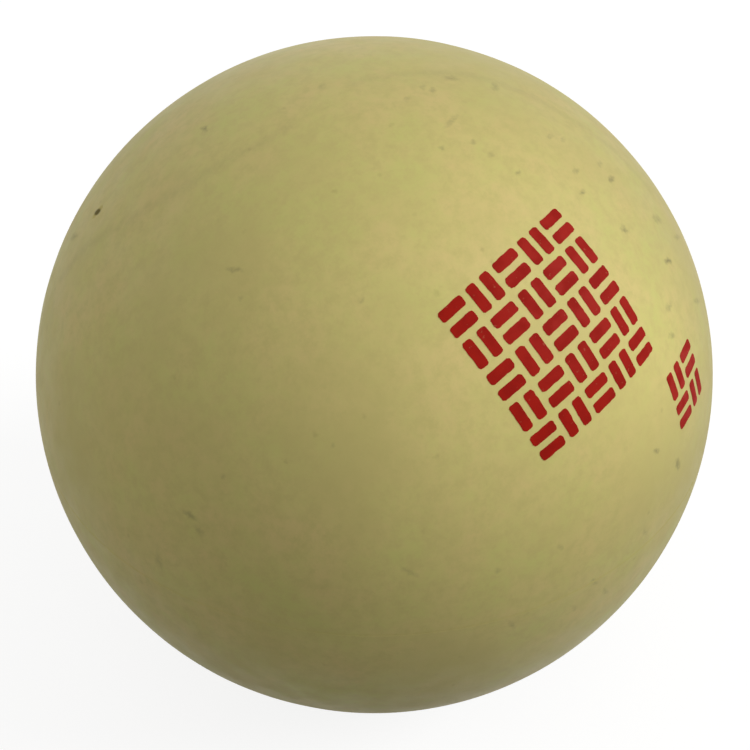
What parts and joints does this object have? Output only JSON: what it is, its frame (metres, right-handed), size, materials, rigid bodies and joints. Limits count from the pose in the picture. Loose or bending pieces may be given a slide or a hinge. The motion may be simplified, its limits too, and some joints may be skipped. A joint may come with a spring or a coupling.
{
  "type": "fronton ball",
  "caption": "Hollow pressurised rubber ball for racket play on a fronton: cemented half shells, a seam ring and a self-sealing charging plug inside.",
  "frame": {"origin": "centre of the ball", "axes": "+Z through the moulding poles, square to the seam, with the charging plug at the lower pole; -Y is the printed side"},
  "size_m": [0.05, 0.05, 0.05],
  "materials": {
    "shell_rubber": "ground satin, cream yellow",
    "rubber_cement": "cured cement, amber",
    "plug_gum": "soft gum rubber, brown",
    "print_ink": "matte red pad-printing ink"
  },
  "bodies": {
    "root": {"upper_half_shell": "shell_rubber", "lower_half_shell": "shell_rubber", "seam_cement": "rubber_cement", "sealing_plug": "plug_gum", "plug_cement": "rubber_cement"}
  },
  "joints": []
}
